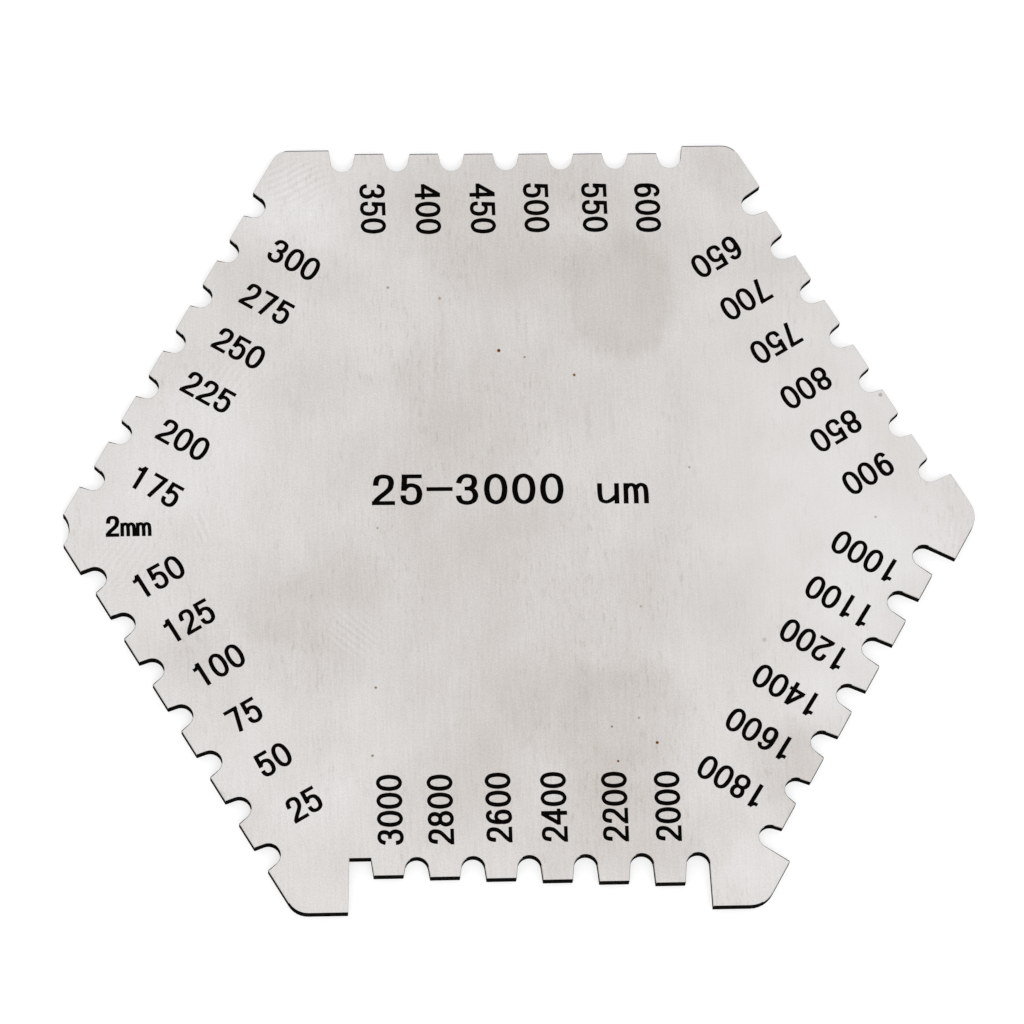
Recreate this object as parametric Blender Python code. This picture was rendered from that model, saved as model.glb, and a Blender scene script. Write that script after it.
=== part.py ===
"""Wet film comb: a hexagonal stainless steel gauge that is stood on edge in wet paint.

Each side of the hexagon has two end lands, which rest on the painted surface, and a row of teeth
between them. Every tooth is set back from the lands by the film thickness that it measures, and
round notches part it from its neighbours. One corner is hollowed to a gauge for a rounded edge.

Lengths are in metres. The plate lies on its back with its marked face up, the origin is at the
hexagon's centre on the back face, and +Y points to the side that starts at 350 micrometres.
"""

import math

import bmesh
import bpy
from mathutils import Vector

MM = 0.001
MICROMETRE = 0.000001

# Plate
ACROSS_FLATS = 65.0 * MM
SHEET_THICKNESS = 1.0 * MM
EDGE_BREAK = 0.05 * MM

# Hollow in the left corner, in place of its rounding, and how far it cuts in from the sharp corner
CORNER_GAUGE_RADIUS = 2.0 * MM
CORNER_GAUGE_DEPTH = 1.2 * MM
CORNER_GAUGE_DIRECTION = 180

# Lands and notches, measured along a side: a land runs from the sharp corner to the first notch
LAND_LENGTH = 4.2 * MM
NOTCH_MOUTH = 2.12 * MM
NOTCH_FLARE = 0.13 * MM
SQUARE_NOTCH_FLARE = 0.19 * MM

# Rounding of the other corners, by their direction from the hexagon's centre
CORNER_RADII = {
    240: 1.8 * MM,
    120: 1.5 * MM,
    60: 1.7 * MM,
    0: 2.1 * MM,
    300: 2.1 * MM,
}

# One row for each side, clockwise from the lower left corner: the direction of the corner where the
# side starts, the films that its teeth measure, in micrometres, how far its notches go in below the
# deepest tooth, and whether its last notch has a square root
SIDES = (
    {"start": 240, "films": (25, 50, 75, 100, 125, 150), "root": 1.47 * MM, "square_end": False},
    {"start": 180, "films": (175, 200, 225, 250, 275, 300), "root": 1.28 * MM, "square_end": False},
    {"start": 120, "films": (350, 400, 450, 500, 550, 600), "root": 1.33 * MM, "square_end": False},
    {"start": 60, "films": (650, 700, 750, 800, 850, 900), "root": 1.37 * MM, "square_end": False},
    {"start": 0, "films": (1000, 1100, 1200, 1400, 1600, 1800), "root": 1.44 * MM, "square_end": False},
    {"start": 300, "films": (2000, 2200, 2400, 2600, 2800, 3000), "root": 1.47 * MM, "square_end": True},
)

# Longest turn between two points of an arc
ARC_STEP = math.radians(12.0)

# Points closer than this are one point, and faces whose slopes differ by less are one flat face
MERGE_DISTANCE = 0.1 * MICROMETRE
FLAT_TOLERANCE = math.radians(0.5)

# Turn of the outline at each corner, in degrees as the directions above
CORNER_TURN = 60

SIDE_LENGTH = ACROSS_FLATS / math.sqrt(3.0)


def arc(centre, radius, start_angle, end_angle):
    """Points on an arc, both ends included."""
    steps = max(2, math.ceil(abs(end_angle - start_angle) / ARC_STEP))
    points = []
    for step in range(steps + 1):
        angle = start_angle + (end_angle - start_angle) * step / steps
        points.append(centre + radius * Vector((math.cos(angle), math.sin(angle))))
    return points


# The shapes below are in a side's own directions: x runs along the side from its first sharp corner,
# and y is the depth below its lands. A corner's shape is split between its two sides.


def rounded_corner(radius):
    """Second half of a rounded corner, from its middle to the land."""
    half_turn = math.radians(CORNER_TURN) / 2
    centre = Vector((radius * math.tan(half_turn), radius))
    land_angle = -math.pi / 2
    return arc(centre, radius, land_angle - half_turn, land_angle)


def hollow_corner():
    """Second half of the corner gauge, from its deepest point to the land."""
    inward_angle = math.radians(CORNER_TURN)
    outside = CORNER_GAUGE_RADIUS - CORNER_GAUGE_DEPTH
    centre = -outside * Vector((math.cos(inward_angle), math.sin(inward_angle)))
    land_angle = math.asin(-centre.y / CORNER_GAUGE_RADIUS)
    return arc(centre, CORNER_GAUGE_RADIUS, inward_angle, land_angle)


def corner(direction):
    """Second half of the corner that lies in the given direction from the hexagon's centre."""
    direction %= 360
    if direction == CORNER_GAUGE_DIRECTION:
        return hollow_corner()
    return rounded_corner(CORNER_RADII[direction])


def wall_end(root_radius, height):
    """Angle above the root's widest line where a notch's leaning wall meets its round root."""
    half_mouth = NOTCH_MOUTH / 2
    reach = math.hypot(half_mouth, height)
    return math.atan2(height, half_mouth) - math.acos(root_radius / reach)


def round_notch(mouth_start, depth_before, depth_after, root_depth):
    """Notch with a round root, between two tips at their own depths."""
    root_radius = NOTCH_MOUTH / 2 - NOTCH_FLARE
    centre = Vector((mouth_start + NOTCH_MOUTH / 2, root_depth - root_radius))
    first_angle = math.pi + wall_end(root_radius, centre.y - depth_before)
    last_angle = -wall_end(root_radius, centre.y - depth_after)
    points = [Vector((mouth_start, depth_before))]
    points += arc(centre, root_radius, first_angle, last_angle)
    points.append(Vector((mouth_start + NOTCH_MOUTH, depth_after)))
    return points


def square_notch(mouth_start, depth_before, depth_after, root_depth):
    """Notch with a flat root and square corners."""
    mouth_end = mouth_start + NOTCH_MOUTH
    return [
        Vector((mouth_start, depth_before)),
        Vector((mouth_start + SQUARE_NOTCH_FLARE, root_depth)),
        Vector((mouth_end - SQUARE_NOTCH_FLARE, root_depth)),
        Vector((mouth_end, depth_after)),
    ]


def side_profile(side):
    """One side from the middle of its first corner to the middle of its last."""
    tip_depths = [0.0] + [film * MICROMETRE for film in side["films"]] + [0.0]
    notch_count = len(tip_depths) - 1
    tooth_count = notch_count - 1
    toothed_length = SIDE_LENGTH - 2 * LAND_LENGTH
    tooth_width = (toothed_length - notch_count * NOTCH_MOUTH) / tooth_count
    root_depth = max(tip_depths) + side["root"]

    points = corner(side["start"])
    for index in range(notch_count):
        square = side["square_end"] and index == notch_count - 1
        notch = square_notch if square else round_notch
        mouth_start = LAND_LENGTH + index * (tooth_width + NOTCH_MOUTH)
        points += notch(mouth_start, tip_depths[index], tip_depths[index + 1], root_depth)
    last_corner = corner(side["start"] - CORNER_TURN)
    points += [Vector((SIDE_LENGTH - point.x, point.y)) for point in reversed(last_corner)]
    return points


def hexagon_corner(direction):
    """Sharp corner of the hexagon in a direction given in degrees."""
    angle = math.radians(direction)
    return SIDE_LENGTH * Vector((math.cos(angle), math.sin(angle)))


def plate_outline():
    """The whole outline, clockwise, without the point that two sides share at each corner."""
    outline = []
    for side in SIDES:
        start = hexagon_corner(side["start"])
        end = hexagon_corner(side["start"] - CORNER_TURN)
        along = (end - start).normalized()
        inward = -(start + end).normalized()
        for point in side_profile(side)[:-1]:
            outline.append(start + along * point.x + inward * point.y)
    return outline


def flat_blank(name, outline, thickness):
    """Sheet of the given outline as a filled 2D curve, with its back face on z = 0."""
    curve = bpy.data.curves.new(name, "CURVE")
    curve.dimensions = "2D"
    curve.fill_mode = "BOTH"
    curve.extrude = thickness / 2
    spline = curve.splines.new("POLY")
    spline.points.add(len(outline) - 1)
    for spline_point, point in zip(spline.points, outline):
        spline_point.co = (point.x, point.y, 0.0, 1.0)
    spline.use_cyclic_u = True
    blank = bpy.data.objects.new(name, curve)
    blank.location.z = thickness / 2
    bpy.context.scene.collection.objects.link(blank)
    return blank


def break_edges(bm, width):
    """Chamfer every edge between a flat face and the cut edge of the sheet."""
    rim = []
    for edge in bm.edges:
        level = [abs(face.normal.z) > 0.5 for face in edge.link_faces]
        if any(level) and not all(level):
            rim.append(edge)
    bmesh.ops.bevel(
        bm,
        geom=rim,
        offset=width,
        offset_type="OFFSET",
        affect="EDGES",
        segments=1,
        profile=0.5,
        material=-1,
    )


def make_plate(collection):
    """The comb itself: one flat piece of sheet with its edges broken."""
    blank = flat_blank("comb_blank", plate_outline(), SHEET_THICKNESS)
    bpy.context.view_layer.update()
    evaluated = blank.evaluated_get(bpy.context.evaluated_depsgraph_get())
    mesh = bpy.data.meshes.new_from_object(evaluated)
    mesh.transform(blank.matrix_world)
    bpy.data.objects.remove(blank)

    bm = bmesh.new()
    bm.from_mesh(mesh)
    bmesh.ops.remove_doubles(bm, verts=bm.verts, dist=MERGE_DISTANCE)
    bmesh.ops.dissolve_limit(bm, angle_limit=FLAT_TOLERANCE, verts=bm.verts, edges=bm.edges)
    bmesh.ops.recalc_face_normals(bm, faces=bm.faces)
    break_edges(bm, EDGE_BREAK)
    bm.to_mesh(mesh)
    bm.free()

    mesh.name = "comb_plate"
    mesh.materials.clear()
    mesh.materials.append(stainless_steel())
    mesh.shade_smooth()
    mesh.set_sharp_from_angle(angle=math.radians(30.0))
    plate = bpy.data.objects.new("comb_plate", mesh)
    collection.objects.link(plate)
    return plate


def stainless_steel():
    """Pale brushed stainless steel."""
    material = bpy.data.materials.new("brushed_stainless")
    material.use_nodes = True
    shader = material.node_tree.nodes["Principled BSDF"]
    shader.inputs["Base Color"].default_value = (0.65, 0.63, 0.60, 1.0)
    shader.inputs["Metallic"].default_value = 1.0
    shader.inputs["Roughness"].default_value = 0.38
    return material


def main():
    for scene_object in list(bpy.data.objects):
        bpy.data.objects.remove(scene_object)
    collection = bpy.data.collections.new("wet_film_comb")
    bpy.context.scene.collection.children.link(collection)
    make_plate(collection)


main()
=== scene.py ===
import math

import bmesh
import bpy
from mathutils import Matrix, Quaternion, Vector


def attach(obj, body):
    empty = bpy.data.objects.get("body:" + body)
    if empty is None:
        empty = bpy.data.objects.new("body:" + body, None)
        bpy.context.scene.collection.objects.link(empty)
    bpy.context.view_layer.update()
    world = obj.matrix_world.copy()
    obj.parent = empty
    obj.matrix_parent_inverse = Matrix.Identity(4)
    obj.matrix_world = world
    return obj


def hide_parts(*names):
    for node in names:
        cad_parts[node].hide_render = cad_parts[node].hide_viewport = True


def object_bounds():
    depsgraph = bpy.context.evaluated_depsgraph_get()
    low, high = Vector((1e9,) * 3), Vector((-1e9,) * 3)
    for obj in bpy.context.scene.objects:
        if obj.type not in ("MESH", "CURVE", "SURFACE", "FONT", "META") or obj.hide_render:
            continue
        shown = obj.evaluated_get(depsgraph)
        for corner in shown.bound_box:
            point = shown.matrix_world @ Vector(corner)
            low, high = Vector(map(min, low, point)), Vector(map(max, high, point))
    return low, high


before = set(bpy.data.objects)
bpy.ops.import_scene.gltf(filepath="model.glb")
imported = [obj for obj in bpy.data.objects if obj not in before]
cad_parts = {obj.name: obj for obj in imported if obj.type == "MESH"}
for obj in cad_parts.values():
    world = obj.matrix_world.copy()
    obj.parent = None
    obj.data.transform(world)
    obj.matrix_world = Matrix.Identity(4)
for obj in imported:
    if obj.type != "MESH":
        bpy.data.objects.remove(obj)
cad_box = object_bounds()

# Wet film comb: a hexagon of brushed stainless sheet that lies on its back. The black marks beside
# its teeth give the film that each tooth measures, in micrometres. Shapes are drawn in millimetres
# and brought to metres when they are finished.

MM = 0.001

# Plate, as the CAD has it
SIDE_LENGTH = (cad_box[1][1] - cad_box[0][1]) / math.sqrt(3.0) / MM
FACE_HEIGHT = cad_box[1][2] / MM

# Turn from one corner of the hexagon to the next, in degrees
CORNER_STEP = 60

# Points closer than this are one point, and faces whose slopes differ by less are one flat face
MERGE_DISTANCE = 0.0005
FLAT_TOLERANCE = math.radians(0.5)

# Edges that turn by more are sharp
SHARP_TURN = math.radians(30.0)

# Marks: they are cut into the face and filled with black enamel, which ends just below the face
MARK_DEPTH = 0.03
ENAMEL_BELOW_FACE = 0.01
CUTTER_ABOVE_FACE = 0.1

# Lettering. A character is drawn in a cell, in cap heights from the cell's lower left corner, with
# strokes that follow the middle of the cut. A stroke is rounded at each of its inner points, from
# half way to one neighbour to half way to the next, and one that ends where it starts is a ring.
# The strokes are made on a narrower character, which is then stretched to its width, so that
# upright strokes are a little wider than level ones.
CELL_WIDTH = 0.716
STRETCH = 1.18
ROUNDING_PERCENT = 50.0
ROUNDING_SEGMENTS = 4
STROKE_MERGE_DISTANCE = 0.0001

SIX = (
    ((0.553, 0.765), (0.50, 0.93), (0.28, 0.93), (0.138, 0.72), (0.138, 0.25), (0.24, 0.06), (0.36, 0.06)),
    (
        (0.24, 0.06), (0.46, 0.06), (0.558, 0.20), (0.558, 0.46), (0.45, 0.605), (0.26, 0.605),
        (0.138, 0.44), (0.138, 0.20), (0.24, 0.06),
    ),
)

CHARACTERS = {
    "0": (
        (
            (0.246, 0.93), (0.47, 0.93), (0.60, 0.71), (0.60, 0.29), (0.47, 0.07), (0.246, 0.07),
            (0.116, 0.29), (0.116, 0.71), (0.246, 0.93),
        ),
    ),
    "1": (
        ((0.3735, 0.0), (0.3735, 1.0)),
        ((0.115, 0.80), (0.27, 0.80), (0.345, 0.90), (0.375, 0.99)),
    ),
    "2": (
        (
            (0.152, 0.63), (0.165, 0.80), (0.235, 0.93), (0.47, 0.93), (0.573, 0.83), (0.573, 0.63),
            (0.50, 0.47), (0.20, 0.22), (0.115, 0.07),
        ),
        ((0.04, 0.072), (0.667, 0.072)),
    ),
    "3": (
        (
            (0.11, 0.69), (0.20, 0.93), (0.46, 0.93), (0.545, 0.82), (0.545, 0.64), (0.44, 0.52),
            (0.275, 0.52),
        ),
        (
            (0.30, 0.52), (0.45, 0.52), (0.567, 0.40), (0.567, 0.20), (0.45, 0.06), (0.22, 0.06),
            (0.125, 0.17), (0.11, 0.30),
        ),
    ),
    "4": (
        ((0.48, 0.0), (0.48, 1.0)),
        ((0.47, 0.97), (0.07, 0.33)),
        ((0.005, 0.325), (0.654, 0.325)),
    ),
    "5": (
        ((0.0975, 0.925), (0.645, 0.925)),
        ((0.182, 0.99), (0.15, 0.46)),
        (
            (0.16, 0.52), (0.25, 0.64), (0.44, 0.64), (0.57, 0.52), (0.575, 0.22), (0.46, 0.065),
            (0.23, 0.065), (0.135, 0.17), (0.13, 0.32),
        ),
    ),
    "6": SIX,
    "7": (
        ((0.06, 0.925), (0.64, 0.925)),
        ((0.562, 0.955), (0.30, 0.0)),
    ),
    "8": (
        (
            (0.26, 0.93), (0.43, 0.93), (0.545, 0.82), (0.545, 0.62), (0.43, 0.51), (0.26, 0.51),
            (0.145, 0.62), (0.145, 0.82), (0.26, 0.93),
        ),
        (
            (0.25, 0.52), (0.45, 0.52), (0.58, 0.40), (0.58, 0.19), (0.45, 0.06), (0.25, 0.06),
            (0.12, 0.19), (0.12, 0.40), (0.25, 0.52),
        ),
    ),
    "9": tuple(tuple((0.688 - x, 1.0 - y) for x, y in stroke) for stroke in SIX),
    "-": (((0.004, 0.51), (0.712, 0.51)),),
    "u": (
        ((0.133, 0.66), (0.133, 0.18), (0.22, 0.06), (0.40, 0.06), (0.594, 0.27)),
        ((0.594, 0.66), (0.594, 0.0)),
    ),
    "m": (
        ((0.085, 0.66), (0.085, 0.0)),
        ((0.085, 0.48), (0.16, 0.61), (0.29, 0.61), (0.36, 0.50), (0.36, 0.0)),
        ((0.36, 0.48), (0.43, 0.61), (0.56, 0.61), (0.635, 0.50), (0.635, 0.0)),
    ),
}

# The small letters are cut with a finer point
FINE_CHARACTERS = "um"
FINE_SHARE = 0.86

# Sizes of lettering: cap height and cell spacing in millimetres, width of the cut in cap heights
# and how much wider than tall the lettering is drawn
FILM_LETTERING = {"cap": 2.09, "spacing": 1.495, "cut": 0.143, "widening": 1.0}
RANGE_LETTERING = {"cap": 2.66, "spacing": 2.28, "cut": 0.13, "widening": 1.13}
CORNER_LETTERING = {"cap": 1.75, "spacing": 1.255, "cut": 0.171, "widening": 1.0}

# The films that each side measures, clockwise from the lower left corner. A mark reads inwards
# from its tooth: it has its film, its distance along the side from the side's first corner, and the
# depth below the side line at which it starts. Start is the direction of that first corner, and
# tilt is how far the side's marks are off square, in degrees.
SIDES = (
    {
        "name": "marks_25_to_150", "start": 240, "tilt": 0.0,
        "marks": (
            (25, 7.39, 3.79), (50, 11.85, 3.64), (75, 16.22, 3.53),
            (100, 20.87, 3.22), (125, 25.28, 3.08), (150, 29.76, 2.91),
        ),
    },
    {
        "name": "marks_175_to_300", "start": 180, "tilt": -1.2,
        "marks": (
            (175, 7.24, 3.17), (200, 11.82, 3.18), (225, 16.38, 2.94),
            (250, 20.92, 3.32), (275, 25.40, 3.44), (300, 29.84, 3.56),
        ),
    },
    {
        "name": "marks_350_to_600", "start": 120, "tilt": 0.4,
        "marks": (
            (350, 7.68, 2.96), (400, 12.21, 3.07), (450, 16.71, 3.07),
            (500, 21.13, 3.03), (550, 25.93, 3.07), (600, 30.31, 3.14),
        ),
    },
    {
        "name": "marks_650_to_900", "start": 60, "tilt": 0.7,
        "marks": (
            (650, 7.62, 4.14), (700, 11.98, 4.06), (750, 16.44, 3.98),
            (800, 21.01, 3.96), (850, 25.40, 3.86), (900, 29.83, 3.60),
        ),
    },
    {
        "name": "marks_1000_to_1800", "start": 0, "tilt": -2.6,
        "marks": (
            (1000, 7.75, 3.49), (1100, 12.19, 3.57), (1200, 16.44, 3.69),
            (1400, 20.92, 3.85), (1600, 25.24, 4.03), (1800, 29.87, 4.17),
        ),
    },
    {
        "name": "marks_2000_to_3000", "start": 300, "tilt": 0.0,
        "marks": (
            (2000, 7.53, 5.37), (2200, 11.77, 5.41), (2400, 16.66, 5.47),
            (2600, 21.10, 5.50), (2800, 25.76, 5.42), (3000, 29.81, 5.48),
        ),
    },
)

# Marks that belong to no tooth: what they say, the left end of their base line and their tilt
RANGE_MARK = {"name": "marks_range", "text": "25-3000 um", "place": (-11.99, 1.63), "tilt": -0.45}
CORNER_MARK = {"name": "marks_corner", "text": "2mm", "place": (-33.44, -0.69), "tilt": 0.0}

# Camera, as the photograph was taken: nearly from above, through a long lens. Lengths are in metres,
# angles in degrees, and the sensor and the lens in millimetres.
VIEW_TARGET = Vector((-0.46, 0.89, FACE_HEIGHT)) * MM
VIEW_AZIMUTH = -9.99
VIEW_ELEVATION = 71.37
VIEW_DISTANCE = 599.0 * MM
VIEW_ROLL = 8.61
SENSOR_WIDTH = 36.0
LENS = 259.76
NEAREST_SEEN = 50.0 * MM


def linear(red, green, blue):
    """Colour of a screen value, 0 to 255, as the shaders take it."""
    return tuple(
        value / 255 / 12.92 if value <= 10 else ((value / 255 + 0.055) / 1.055) ** 2.4
        for value in (red, green, blue)
    ) + (1.0,)


# Modelling


def mesh_from(bm, name):
    """Mesh with the bmesh's shape, which is then freed."""
    mesh = bpy.data.meshes.new(name)
    bm.to_mesh(mesh)
    bm.free()
    return mesh


def placed(mesh, name):
    """Object of a mesh, at the origin."""
    piece = bpy.data.objects.new(name, mesh)
    bpy.context.scene.collection.objects.link(piece)
    return piece


def combined(mesh, others, operation):
    """The first mesh joined with the others or cut by them."""
    base = placed(mesh, "base")
    tools = [placed(other, "tool") for other in others]
    for tool in tools:
        step = base.modifiers.new("combine", "BOOLEAN")
        step.solver = "EXACT"
        step.use_self = True
        step.operation = operation
        step.object = tool
    evaluated = base.evaluated_get(bpy.context.evaluated_depsgraph_get())
    result = bpy.data.meshes.new_from_object(evaluated)
    for used in [base] + tools:
        bpy.data.objects.remove(used)
    return result


# Lettering


def stroke_solid(points, cut):
    """Solid of one stroke, one unit tall: its middle line made a wall and given its thickness."""
    ring = points[0] == points[-1]
    bm = bmesh.new()
    corners = [bm.verts.new((x / STRETCH, y, 0.0)) for x, y in points[:len(points) - ring]]
    for start, end in zip(corners, corners[1:]):
        bm.edges.new((start, end))
    if ring:
        bm.edges.new((corners[-1], corners[0]))
    turns = corners if ring else corners[1:-1]
    if turns:
        bmesh.ops.bevel(
            bm, geom=turns, offset=ROUNDING_PERCENT, offset_type="PERCENT", affect="VERTICES",
            segments=ROUNDING_SEGMENTS, profile=0.5, material=-1,
        )
        bmesh.ops.remove_doubles(bm, verts=bm.verts, dist=STROKE_MERGE_DISTANCE)
    wall = bmesh.ops.extrude_edge_only(bm, edges=bm.edges[:])["geom"]
    top = [part for part in wall if isinstance(part, bmesh.types.BMVert)]
    bmesh.ops.translate(bm, verts=top, vec=(0.0, 0.0, 1.0))
    bmesh.ops.recalc_face_normals(bm, faces=bm.faces[:])

    # The wall is thickened to one side, so it first moves out by half of the cut
    shifts = [vert.normal * vert.calc_shell_factor() * cut / 2 for vert in bm.verts]
    for vert, shift in zip(bm.verts, shifts):
        vert.co += shift
    bm.normal_update()
    bmesh.ops.solidify(bm, geom=bm.faces[:], thickness=cut)
    bmesh.ops.recalc_face_normals(bm, faces=bm.faces[:])
    return mesh_from(bm, "stroke")


CHARACTER_MESHES = {}


def character_mesh(character, lettering):
    """Solid of one character, drawn once for each lettering."""
    key = (character, lettering["cap"])
    if key not in CHARACTER_MESHES:
        cut = lettering["cut"]
        if character in FINE_CHARACTERS:
            cut *= FINE_SHARE
        strokes = [stroke_solid(points, cut) for points in CHARACTERS[character]]
        mesh = combined(strokes[0], strokes[1:], "UNION")
        middle = Matrix.Translation((-CELL_WIDTH / 2 / STRETCH, 0.0, 0.0))
        width = STRETCH * lettering["widening"]
        mesh.transform(Matrix.Diagonal((width, 1.0, 1.0, 1.0)) @ middle)
        CHARACTER_MESHES[key] = mesh
    return CHARACTER_MESHES[key]


def lettered(text, lettering, place):
    """Characters of a text with the place of each, from the left end of its base line."""
    characters = []
    for index, character in enumerate(text):
        if character != " ":
            cell_middle = Matrix.Translation(((index + 0.5) * lettering["spacing"], 0.0, 0.0))
            size = Matrix.Diagonal((lettering["cap"], lettering["cap"], 1.0, 1.0))
            characters.append((character_mesh(character, lettering), place @ cell_middle @ size))
    return characters


def hexagon_corner(direction):
    """Sharp corner of the hexagon in a direction given in degrees."""
    angle = math.radians(direction)
    return SIDE_LENGTH * Vector((math.cos(angle), math.sin(angle), 0.0))


def side_lettering(side):
    """Characters of all the marks of one side."""
    start = hexagon_corner(side["start"])
    end = hexagon_corner(side["start"] - CORNER_STEP)
    along = (end - start).normalized()
    inward = -(start + end).normalized()
    characters = []
    for film, distance, depth in side["marks"]:
        turn = Matrix((inward, along, inward.cross(along))).transposed().to_4x4()
        tilt = Matrix.Rotation(math.radians(side["tilt"]), 4, "Z")
        drop = Matrix.Translation((0.0, -FILM_LETTERING["cap"] / 2, 0.0))
        place = Matrix.Translation(start + along * distance + inward * depth) @ turn @ tilt @ drop
        characters += lettered(str(film), FILM_LETTERING, place)
    return characters


def free_lettering(mark, lettering):
    """Characters of a mark that belongs to no tooth."""
    place = Matrix.Translation((*mark["place"], 0.0)) @ Matrix.Rotation(math.radians(mark["tilt"]), 4, "Z")
    return lettered(mark["text"], lettering, place)


def character_solids(characters, bottom, top):
    """One mesh of placed characters between two heights."""
    bm = bmesh.new()
    height = Matrix.Translation((0.0, 0.0, bottom)) @ Matrix.Diagonal((1.0, 1.0, top - bottom, 1.0))
    for mesh, place in characters:
        copy = mesh.copy()
        copy.transform(height @ place)
        bm.from_mesh(copy)
        bpy.data.meshes.remove(copy)
    return mesh_from(bm, "characters")


# Materials


def add(tree, kind, inputs=(), **settings):
    """Node with its settings, and with a value or a link on each named input."""
    made = tree.nodes.new(kind)
    for name, value in settings.items():
        setattr(made, name, value)
    for name, value in dict(inputs).items():
        if isinstance(value, bpy.types.NodeSocket):
            tree.links.new(value, made.inputs[name])
        else:
            made.inputs[name].default_value = value
    return made


def new_material(name):
    """Material with its node tree and its Principled shader."""
    material = bpy.data.materials.new(name)
    material.use_nodes = True
    return material, material.node_tree, material.node_tree.nodes["Principled BSDF"]


def plus(tree, first, second):
    """Sum of two values."""
    return add(tree, "ShaderNodeMath", {0: first, 1: second}, operation="ADD").outputs[0]


def times(tree, first, second):
    """Product of two values."""
    return add(tree, "ShaderNodeMath", {0: first, 1: second}, operation="MULTIPLY").outputs[0]


def scaled(tree, place, size):
    """Place in units of a width and a length in millimetres, so that a pattern of unit size gets them."""
    width, length = size
    per_size = (1 / (width * MM), 1 / (length * MM), 1 / (width * MM))
    return add(tree, "ShaderNodeVectorMath", {0: place, 1: per_size}, operation="MULTIPLY").outputs[0]


def grain(tree, place, size, detail=2.0):
    """Noise about 0, between -0.5 and 0.5, with marks of a given width and length in millimetres."""
    vector = scaled(tree, place, size)
    noise = add(tree, "ShaderNodeTexNoise", {"Vector": vector, "Scale": 1.0, "Detail": detail})
    return plus(tree, noise.outputs[0], -0.5)


def part_above(tree, value, low, high):
    """0 below a low value and 1 above a high one."""
    limits = {"Value": value, "From Min": low, "From Max": high}
    return add(tree, "ShaderNodeMapRange", limits).outputs[0]


def ragged(tree, place, size, reach):
    """Place shifted about, so that what is drawn on it has ragged edges. Both are in millimetres."""
    noise = add(tree, "ShaderNodeTexNoise", {"Vector": place, "Scale": 1 / (size * MM), "Detail": 3.0})
    middle = (0.5, 0.5, 0.5)
    shift = add(
        tree, "ShaderNodeVectorMath", {0: noise.outputs["Color"], 1: middle}, operation="SUBTRACT",
    )
    reaches = (reach * MM, reach * MM, 0.0)
    moved = add(
        tree, "ShaderNodeVectorMath",
        {0: shift.outputs[0], 1: reaches, 2: place}, operation="MULTIPLY_ADD",
    )
    return moved.outputs[0]


def spot(tree, place, centre, radii, edge, strength):
    """A strength inside an oval spot on the face and 0 outside it, with a soft edge."""
    per_radius = [1 / (radius * MM) for radius in radii]
    middle = [-distance / radius for distance, radius in zip(centre, radii)]
    local = add(
        tree, "ShaderNodeVectorMath",
        {0: place, 1: (*per_radius, 0.0), 2: (*middle, 0.0)}, operation="MULTIPLY_ADD",
    )
    reach = add(tree, "ShaderNodeVectorMath", {0: local.outputs[0]}, operation="LENGTH")
    limits = {
        "Value": reach.outputs["Value"],
        "From Min": 1.0,
        "From Max": 1.0 - edge,
        "To Min": 0.0,
        "To Max": strength,
    }
    return add(tree, "ShaderNodeMapRange", limits, interpolation_type="SMOOTHSTEP").outputs[0]


# Distance between two bands of the Wave node at scale 1
WAVE_PERIOD = math.pi / 10


def ripples(tree, place, period, turn):
    """Fine uneven ripples about 0, a period apart in millimetres."""
    turned = add(tree, "ShaderNodeMapping", {"Vector": place, "Rotation": (0.0, 0.0, math.radians(turn))})
    wave = add(
        tree, "ShaderNodeTexWave",
        {
            "Vector": turned.outputs[0],
            "Scale": WAVE_PERIOD / (period * MM),
            "Distortion": 4.0,
            "Detail": 1.0,
            "Detail Scale": 0.6,
        },
    )
    return plus(tree, wave.outputs[1], -0.5)


# Middle tones of the finishes
STEEL_TONE = linear(216.5, 213.3, 211.3)
# The cut walls and the chamfers with painted shadow lines share a near-black painted shade, and the other
# chamfers get a lighter grey painted shade
PAINTED_SHADE_EDGE_TONE = linear(20, 19, 18)
CHAMFER_TONE = linear(190, 187, 184)
ENAMEL_TONE = linear(4, 3, 2)

# How much more green and blue than red the face loses where it is darker
WARMER_IN_THE_DARK = (1.0, 1.14, 1.29)
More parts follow.
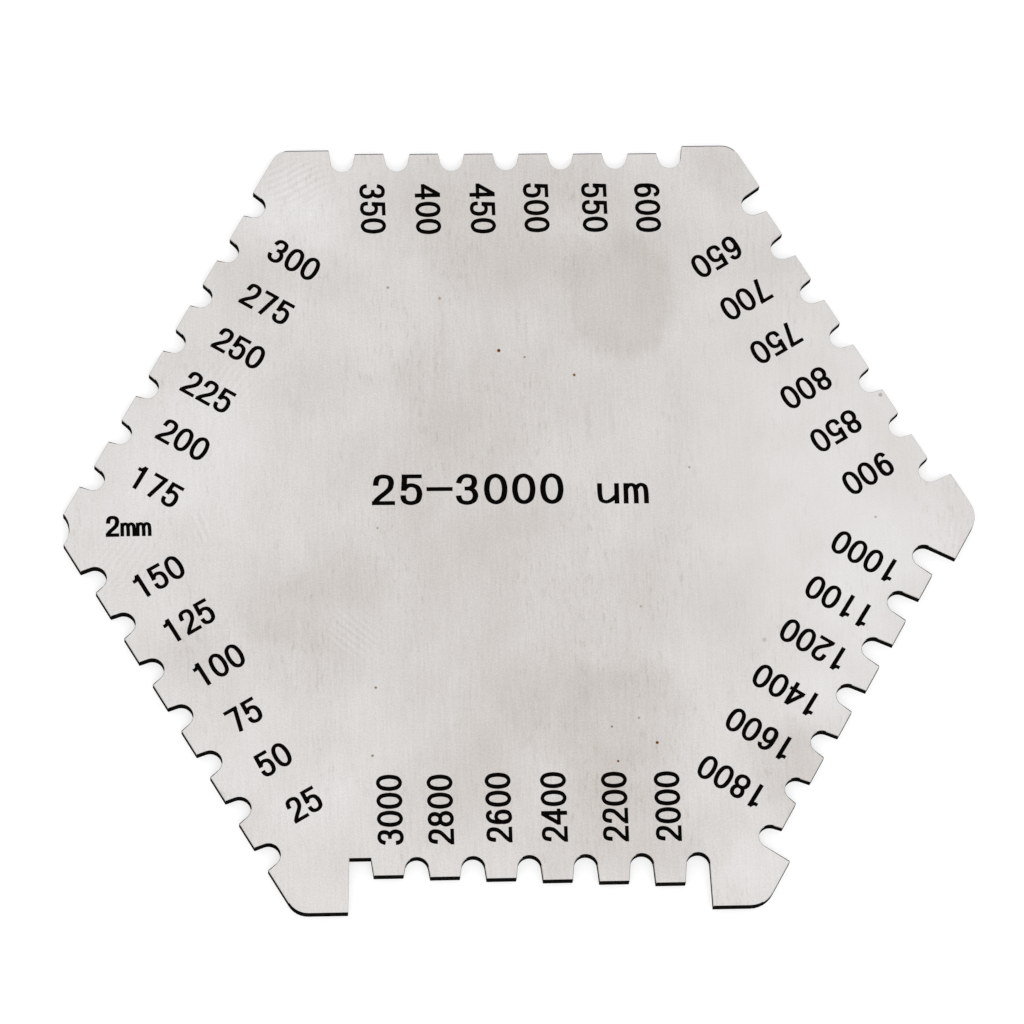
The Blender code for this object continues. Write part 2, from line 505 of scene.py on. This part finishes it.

# Clouds of the face: middle, half width and half length, and how much they brighten. The largest darkens
# the middle of the face, and several brightening ones lie near its left and right corners.
CLOUDS = (
    ((-1.0, 0.0), (24.0, 38.0), -0.08),
    ((8.8, 20.6), (7.4, 7.8), -0.03),
    ((-0.6, 22.8), (9.6, 5.6), -0.09),
    ((11.0, 26.0), (7.0, 5.0), -0.07),
    ((18.0, 23.0), (6.0, 5.4), -0.05),
    ((2.0, 29.5), (15.0, 5.0), -0.09),
    ((-9.0, 26.6), (6.0, 5.0), -0.05),
    ((18.2, 30.0), (4.4, 4.4), -0.09),
    ((23.0, 22.6), (3.0, 4.4), -0.05),
    ((-7.0, 13.6), (5.4, 5.0), -0.04),
    ((-4.4, 7.6), (8.0, 5.6), -0.04),
    ((-9.0, 3.0), (4.4, 5.0), -0.03),
    ((-16.6, 12.4), (7.0, 5.0), -0.04),
    ((-21.4, 17.2), (4.6, 4.4), -0.04),
    ((-14.6, 21.0), (3.4, 3.0), -0.05),
    ((-21.6, 21.4), (5.0, 4.8), -0.09),
    ((-17.6, 26.6), (5.4, 4.4), 0.08),
    ((-21.6, -6.4), (6.2, 6.0), -0.07),
    ((-26.6, -10.6), (3.6, 4.0), -0.07),
    ((-18.0, -11.6), (7.0, 5.4), -0.05),
    ((-14.6, -4.4), (6.0, 4.4), -0.07),
    ((-9.0, -2.4), (6.0, 4.6), -0.01),
    ((-1.0, -2.0), (6.0, 5.8), -0.04),
    ((11.6, -6.4), (9.6, 6.4), -0.04),
    ((17.6, -10.6), (4.6, 4.4), -0.04),
    ((8.0, -14.6), (6.4, 4.8), -0.06),
    ((7.4, -21.0), (8.0, 4.8), -0.07),
    ((1.6, -15.4), (6.0, 6.6), -0.08),
    ((-3.8, -21.4), (5.8, 6.4), -0.08),
    ((7.4, -26.4), (10.6, 6.8), -0.09),
    ((-9.0, -24.6), (4.4, 4.4), -0.05),
    ((20.8, -21.0), (5.2, 5.0), -0.11),
    ((27.5, -7.0), (6.0, 10.0), 0.07),
    ((22.6, -14.4), (5.2, 4.6), 0.06),
    ((25.0, 4.0), (8.0, 14.0), 0.05),
    ((7.0, 5.0), (8.0, 6.4), 0.04),
    ((-10.6, 15.6), (4.4, 3.6), 0.05),
    ((-17.0, -23.0), (5.0, 5.0), 0.05),
    ((-22.6, -20.4), (3.0, 4.4), 0.05),
    ((18.6, -29.0), (3.6, 4.0), 0.06),
    ((-26.0, 7.0), (8.0, 8.0), 0.06),
    ((-30.5, 2.0), (7.0, 6.0), 0.03),
    ((32.5, -1.5), (5.0, 6.0), 0.07),
)

# Stains, which end more sharply than the clouds: middle, half width and half length, and strength
STAINS = (
    ((9.0, 19.4), (5.8, 6.7), -0.09),
    ((8.4, -16.4), (6.2, 5.4), -0.05),
    ((-18.6, -7.4), (4.8, 4.0), -0.04),
)

# Shares of the radius over which the clouds and the marks of use fade out
CLOUD_EDGE = 0.8
STAIN_EDGE = 0.4
STREAK_EDGE = 0.9
RIPPLED_EDGE = 0.8
SPECK_EDGE = 0.5

# Raggedness of clouds and streaks: size of the shifts' pattern and how far they reach
CLOUD_RAGGEDNESS = (2.4, 3.0)
STREAK_RAGGEDNESS = (0.5, 0.9)

# Grain and mottling of the face: width and length of their marks, and how much they change it
LONG_GRAIN = ((0.15, 2.6), 0.13)
FINE_GRAIN = ((0.14, 0.14), 0.27)
MOTTLING = ((5.0, 6.0), 0.17)

# The same for the face's roughness, and its middle value
ROUGHNESS_GRAIN = ((0.2, 12.0), 0.12)
MIDDLE_ROUGHNESS = 0.38

# Scratches that catch the light: width and length, share of their height that shows, and height
SCRATCHES = ((0.12, 8.0), 0.1, 0.01)

# Unevenness of the other finishes: width and length of its marks, and how much they change it
RIDGES = ((0.14, 0.14), 2.4)
CHAMFER_MOTTLING = ((0.3, 0.3), 0.5)
ENAMEL_MOTTLING = ((0.2, 0.2), 0.8)

# How much the ridges of a cut wall are drawn out along its height
RIDGE_STRETCH = 10.0

# Short dark strokes in the grain, in patches of a larger size: each has its width and length and
# the two noise levels between which it comes in
STROKES = ((0.26, 1.1), (0.06, 0.22))
STROKE_PATCHES = ((4.0, 9.0), (-0.08, 0.12))
STROKE_STRENGTH = -0.09

# Distance between two ripples
RIPPLE_PERIOD = 0.55

# Area where the grain is worn smooth: middle, half width and half length, edge and how much is gone
SMOOTH_AREA = ((25.0, 2.0), (19.0, 30.0), 0.8, -0.45)

# Streaks that run with the grain: middle, half width and half length, and how much they brighten
STREAKS = (
    ((-5.6, 16.4), (0.55, 5.4), -0.05),
    ((-6.3, 14.0), (0.25, 3.4), -0.06),
    ((0.5, 17.7), (0.25, 2.6), -0.05),
    ((1.2, 16.6), (0.2, 2.0), -0.05),
    ((6.0, 8.3), (0.3, 2.6), -0.06),
    ((7.9, 8.8), (0.3, 2.2), -0.05),
    ((-16.6, -13.5), (0.2, 1.0), -0.06),
    ((-1.9, 6.0), (0.3, 4.0), -0.03),
    ((-13.6, 14.0), (0.25, 2.2), -0.05),
)

# Rippled patches: middle, half width and half length, turn of the ripples and their strength
RIPPLED = (
    ((-17.3, 29.9), (4.0, 2.6), 65.0, 0.09),
    ((-31.8, -2.7), (4.0, 4.0), 35.0, 0.05),
    ((-25.7, -0.2), (1.2, 3.0), -25.0, 0.08),
    ((-13.7, -9.3), (3.2, 2.6), -50.0, 0.07),
    ((35.3, -1.4), (1.4, 3.0), 10.0, 0.06),
    ((-23.0, 12.6), (4.6, 2.6), 40.0, 0.05),
)

# Specks: middle, radius and how much they brighten
SPECKS = (
    ((-1.1, 14.8), 0.19, -0.75),
    ((10.6, -18.8), 0.16, -0.7),
    ((9.2, -16.7), 0.12, -0.45),
    ((7.4, -20.3), 0.13, -0.65),
    ((7.0, -17.4), 0.12, -0.5),
    ((5.0, 12.6), 0.15, -0.7),
    ((1.0, 14.2), 0.11, -0.5),
    ((-12.3, -19.5), 0.14, -0.6),
    ((-11.9, -13.8), 0.14, -0.6),
    ((-5.8, 19.4), 0.17, -0.35),
    ((-10.0, 20.4), 0.15, -0.4),
    ((14.1, 4.5), 0.13, -0.4),
    ((9.7, -7.3), 0.11, -0.35),
    ((-11.4, -0.3), 0.12, -0.4),
    ((29.2, 11.4), 0.3, -0.3),
    ((30.0, 10.5), 0.22, -0.35),
    ((29.1, 0.0), 0.14, -0.4),
    ((19.6, -10.3), 0.25, -0.2),
)


def sheet_shade(tree, place):
    """How much the face is brighter or darker than its middle tone: grain, mottling, clouds and marks of
    use.
    """
    size, strength = LONG_GRAIN
    shade = times(tree, grain(tree, place, size), strength)
    size, strength = FINE_GRAIN
    shade = plus(tree, shade, times(tree, grain(tree, place, size), strength))
    shade = times(tree, shade, plus(tree, spot(tree, place, *SMOOTH_AREA), 1.0))
    size, strength = MOTTLING
    shade = plus(tree, shade, times(tree, grain(tree, place, size, detail=4.0), strength))
    size, levels = STROKES
    strokes = times(tree, part_above(tree, grain(tree, place, size), *levels), STROKE_STRENGTH)
    size, levels = STROKE_PATCHES
    worn = part_above(tree, grain(tree, place, size, detail=1.0), *levels)
    shade = plus(tree, shade, times(tree, strokes, worn))
    cloud_place = ragged(tree, place, *CLOUD_RAGGEDNESS)
    for centre, radii, strength in CLOUDS:
        shade = plus(tree, shade, spot(tree, cloud_place, centre, radii, CLOUD_EDGE, strength))
    for centre, radii, strength in STAINS:
        shade = plus(tree, shade, spot(tree, cloud_place, centre, radii, STAIN_EDGE, strength))
    streak_place = ragged(tree, place, *STREAK_RAGGEDNESS)
    for centre, radii, strength in STREAKS:
        shade = plus(tree, shade, spot(tree, streak_place, centre, radii, STREAK_EDGE, strength))
    for centre, radii, turn, strength in RIPPLED:
        patch = spot(tree, cloud_place, centre, radii, RIPPLED_EDGE, strength)
        shade = plus(tree, shade, times(tree, patch, ripples(tree, place, RIPPLE_PERIOD, turn)))
    for centre, radius, strength in SPECKS:
        shade = plus(tree, shade, spot(tree, place, centre, (radius, radius), SPECK_EDGE, strength))
    return shade


def uneven(tree, tone, pattern):
    """A tone made brighter and darker by a pattern about 0."""
    brightness = plus(tree, pattern, 1.0)
    colour = add(tree, "ShaderNodeVectorMath", {0: tone[:3], "Scale": brightness}, operation="SCALE")
    return colour.outputs[0]


def brushed_stainless():
    """Pale rolled sheet with a fine straight grain, dull clouds, a few scuffs and dark specks."""
    material, tree, shader = new_material("brushed_stainless")
    place = add(tree, "ShaderNodeTexCoord").outputs["Object"]
    warmer = [value * share for value, share in zip(STEEL_TONE, WARMER_IN_THE_DARK)]
    colour = add(
        tree, "ShaderNodeVectorMath",
        {0: sheet_shade(tree, place), 1: warmer, 2: STEEL_TONE[:3]}, operation="MULTIPLY_ADD",
    )
    tree.links.new(colour.outputs[0], shader.inputs["Base Color"])
    shader.inputs["Metallic"].default_value = 1.0
    size, strength = ROUGHNESS_GRAIN
    roughness = plus(tree, times(tree, grain(tree, place, size), strength), MIDDLE_ROUGHNESS)
    tree.links.new(roughness, shader.inputs["Roughness"])
    size, strength, height = SCRATCHES
    scratches = {"Height": grain(tree, place, size), "Strength": strength, "Distance": height * MM}
    bump = add(tree, "ShaderNodeBump", scratches)
    tree.links.new(bump.outputs[0], shader.inputs["Normal"])
    return material


def cut_edge():
    """Near-black painted shade of the cut walls and of the chamfers with painted shadow lines, dull, with
    fine upright ridges.
    """
    material, tree, shader = new_material("painted_shade_edge_finish")
    place = add(tree, "ShaderNodeTexCoord").outputs["Object"]
    drawn_out = (1.0, 1.0, 1 / RIDGE_STRETCH)
    upright = add(tree, "ShaderNodeVectorMath", {0: place, 1: drawn_out}, operation="MULTIPLY")
    size, strength = RIDGES
    ridges = times(tree, grain(tree, upright.outputs[0], size), strength)
    tree.links.new(uneven(tree, PAINTED_SHADE_EDGE_TONE, ridges), shader.inputs["Base Color"])
    shader.inputs["Roughness"].default_value = 0.6
    shader.inputs["Specular IOR Level"].default_value = 0.0
    return material


def bright_chamfer():
    """Lighter grey painted shade of the narrow chamfers that carry no painted shadow line."""
    material, tree, shader = new_material("bright_chamfer")
    place = add(tree, "ShaderNodeTexCoord").outputs["Object"]
    size, strength = CHAMFER_MOTTLING
    mottling = times(tree, grain(tree, place, size), strength)
    tree.links.new(uneven(tree, CHAMFER_TONE, mottling), shader.inputs["Base Color"])
    shader.inputs["Metallic"].default_value = 1.0
    shader.inputs["Roughness"].default_value = 0.4
    return material


def black_enamel():
    """Matt black filling of the marks."""
    material, tree, shader = new_material("black_enamel")
    place = add(tree, "ShaderNodeTexCoord").outputs["Object"]
    size, strength = ENAMEL_MOTTLING
    mottling = times(tree, grain(tree, place, size), strength)
    tree.links.new(uneven(tree, ENAMEL_TONE, mottling), shader.inputs["Base Color"])
    shader.inputs["Roughness"].default_value = 0.6
    shader.inputs["Specular IOR Level"].default_value = 0.02
    return material


# The comb

# Materials of the plate: its two faces, its cut walls and the chamfers with painted shadow lines, both in
# a near-black painted shade, and its other chamfers, in a lighter painted shade
FACE_SLOT = 0
PAINTED_SHADE_SLOT = 1
CHAMFER_SLOT = 2

# Chamfers that get a painted shadow line, by the directions in degrees that they face. A chamfer is told
# by the length of its facets: those of a notch's round root are the shortest, then come those of
# the corners, and the rest is straight. The painted shadow lines on chamfers that face up the plate are a
# little wider.
ROOT_FACET = 0.25
CORNER_FACET = 0.5
PAINTED_SHADOW_CHAMFERS = (
    (ROOT_FACET, ((175, 300),)),
    (CORNER_FACET, ((45, 100), (175, 300))),
    (SIDE_LENGTH, ((45, 100), (125, 140), (255, 300))),
)
UPWARD = (45, 140)
PAINTED_SHADOW_WIDENING = 0.03

# Upright part of a face's normal: above the first it is one of the flat faces, and below the second
# it is a cut wall. Between them it is a chamfer.
FLAT_FACE = 0.99
WALL = 0.3


def looks_between(face, low, high):
    """Whether a wall or a chamfer looks in a direction between two angles in degrees."""
    direction = math.degrees(math.atan2(face.normal.y, face.normal.x)) % 360
    return low <= direction <= high


def edge_slot(face):
    """Material of a face of the plate."""
    slope = abs(face.normal.z)
    if slope > FLAT_FACE:
        return FACE_SLOT
    # Cut walls take the near-black painted shade
    if slope < WALL:
        return PAINTED_SHADE_SLOT
    # A chamfer that faces one of its kind's listed directions takes the near-black painted shade as a
    # painted shadow line; the rest take the lighter grey painted shade
    facet = max(edge.calc_length() for edge in face.edges)
    bands = next(bands for longest, bands in PAINTED_SHADOW_CHAMFERS if facet < longest)
    return PAINTED_SHADE_SLOT if any(looks_between(face, *band) for band in bands) else CHAMFER_SLOT


def widen_upward_chamfers(bm):
    """Cut the front face back a little along the chamfers that face up the plate and carry a painted
    shadow line, which widens that line.
    """
    rims = []
    for edge in bm.edges:
        slopes = sorted(face.normal.z for face in edge.link_faces)
        if slopes[-1] < FLAT_FACE or slopes[0] < WALL:
            continue
        chamfer = min(edge.link_faces, key=lambda face: face.normal.z)
        if edge_slot(chamfer) == PAINTED_SHADE_SLOT and looks_between(chamfer, *UPWARD):
            rims.append(edge)
    bmesh.ops.bevel(
        bm, geom=rims, offset=PAINTED_SHADOW_WIDENING, offset_type="OFFSET", affect="EDGES",
        segments=1, profile=0.5, material=-1,
    )


def sheet_copy():
    """The CAD plate in millimetres, with each flat face in one piece and its edges marked."""
    bm = bmesh.new()
    bm.from_mesh(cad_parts["comb_plate"].data)
    bmesh.ops.scale(bm, verts=bm.verts, vec=Vector((1.0, 1.0, 1.0)) / MM)
    bmesh.ops.remove_doubles(bm, verts=bm.verts, dist=MERGE_DISTANCE)
    bmesh.ops.dissolve_limit(bm, angle_limit=FLAT_TOLERANCE, verts=bm.verts, edges=bm.edges)
    widen_upward_chamfers(bm)
    for face in bm.faces:
        face.material_index = edge_slot(face)
    return mesh_from(bm, "sheet")


def make_plate(characters):
    """The sheet with its marks cut in."""
    sheet = sheet_copy()
    for material in (brushed_stainless(), cut_edge(), bright_chamfer()):
        sheet.materials.append(material)
    cutter = character_solids(characters, FACE_HEIGHT - MARK_DEPTH, FACE_HEIGHT + CUTTER_ABOVE_FACE)
    mesh = combined(sheet, [cutter], "DIFFERENCE")
    mesh.transform(Matrix.Scale(MM, 4))
    mesh.name = "marked_plate"
    mesh.set_sharp_from_angle(angle=SHARP_TURN)
    for face in mesh.polygons:
        face.use_smooth = face.material_index != FACE_SLOT
    plate = placed(mesh, "marked_plate")
    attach(plate, "root")
    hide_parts("comb_plate")


def make_marks(name, characters, enamel):
    """The enamel of some of the marks."""
    mesh = character_solids(characters, FACE_HEIGHT - MARK_DEPTH, FACE_HEIGHT - ENAMEL_BELOW_FACE)
    mesh.transform(Matrix.Scale(MM, 4))
    mesh.name = name
    mesh.materials.append(enamel)
    marks = placed(mesh, name)
    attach(marks, "root")


def make_comb():
    """The plate and the enamel of its marks."""
    groups = {side["name"]: side_lettering(side) for side in SIDES}
    groups[RANGE_MARK["name"]] = free_lettering(RANGE_MARK, RANGE_LETTERING)
    groups[CORNER_MARK["name"]] = free_lettering(CORNER_MARK, CORNER_LETTERING)
    make_plate([character for group in groups.values() for character in group])
    enamel = black_enamel()
    for name, characters in groups.items():
        make_marks(name, characters, enamel)


# Surroundings. Lengths here are in metres.

TABLE_HALF_WIDTH = 2.0
TABLE_BELOW_PLATE = 0.00002

# Grey of the table, and how much it is lifted where it is seen, so that it is white but for shadows
TABLE_GREY = 0.5
TABLE_LIFT = 0.6

# Brightness of the surroundings as they light the comb, and how much more they have where seen
WORLD_LIGHT = 0.85
WORLD_LIFT = 0.15

# Soft lamp in front of the comb: diameter, power in watts, direction and distance from the origin
LAMP_DIAMETER = 0.8
LAMP_POWER = 2.5
LAMP_DIRECTION = Vector((0.056, -0.5, 0.86)).normalized()
LAMP_DISTANCE = 1.0


def seen_rays(tree):
    """1 for what the camera sees, straight or in a reflection, and 0 for light on the object."""
    path = add(tree, "ShaderNodeLightPath")
    direct = plus(tree, path.outputs["Is Camera Ray"], path.outputs["Is Glossy Ray"])
    return plus(tree, direct, path.outputs["Is Transmission Ray"])


def make_floor():
    """White table that the comb lies on. What is seen of it is lifted to white, less its shadows."""
    bm = bmesh.new()
    bmesh.ops.create_grid(bm, x_segments=1, y_segments=1, size=TABLE_HALF_WIDTH)
    bmesh.ops.translate(bm, verts=bm.verts, vec=(0.0, 0.0, -TABLE_BELOW_PLATE))
    floor = placed(mesh_from(bm, "table"), "table")
    material, tree, shader = new_material("white_table")
    shader.inputs["Base Color"].default_value = (TABLE_GREY, TABLE_GREY, TABLE_GREY, 1.0)
    shader.inputs["Roughness"].default_value = 0.9
    shader.inputs["Emission Color"].default_value = (1.0, 1.0, 1.0, 1.0)
    tree.links.new(times(tree, seen_rays(tree), TABLE_LIFT), shader.inputs["Emission Strength"])
    floor.data.materials.append(material)


def make_light():
    """Even white surroundings and one large soft lamp in front."""
    world = bpy.data.worlds.new("studio")
    bpy.context.scene.world = world
    world.use_nodes = True
    tree = world.node_tree
    background = tree.nodes["Background"]
    background.inputs["Color"].default_value = (1.0, 1.0, 1.0, 1.0)
    strength = plus(tree, times(tree, seen_rays(tree), WORLD_LIFT), WORLD_LIGHT)
    tree.links.new(strength, background.inputs["Strength"])

    lamp = bpy.data.lights.new("soft_lamp", "AREA")
    lamp.shape = "DISK"
    lamp.size = LAMP_DIAMETER
    lamp.energy = LAMP_POWER
    lamp_object = bpy.data.objects.new("soft_lamp", lamp)
    bpy.context.scene.collection.objects.link(lamp_object)
    lamp_object.location = LAMP_DIRECTION * LAMP_DISTANCE
    lamp_object.rotation_mode = "QUATERNION"
    lamp_object.rotation_quaternion = LAMP_DIRECTION.to_track_quat("Z", "Y")


def make_camera():
    """Camera at the photograph's place."""
    camera = bpy.data.cameras.new("camera")
    camera.sensor_width = SENSOR_WIDTH
    camera.lens = LENS
    camera.clip_start = NEAREST_SEEN
    camera_object = bpy.data.objects.new("camera", camera)
    bpy.context.scene.collection.objects.link(camera_object)
    azimuth = math.radians(VIEW_AZIMUTH)
    elevation = math.radians(VIEW_ELEVATION)
    back = Vector((
        math.sin(azimuth) * math.cos(elevation),
        -math.cos(azimuth) * math.cos(elevation),
        math.sin(elevation),
    ))
    roll = Quaternion((0.0, 0.0, 1.0), math.radians(VIEW_ROLL))
    camera_object.location = VIEW_TARGET + back * VIEW_DISTANCE
    camera_object.rotation_mode = "QUATERNION"
    camera_object.rotation_quaternion = back.to_track_quat("Z", "Y") @ roll
    bpy.context.scene.camera = camera_object


make_comb()
make_floor()
make_light()
make_camera()
bpy.context.scene.view_settings.view_transform = "Standard"
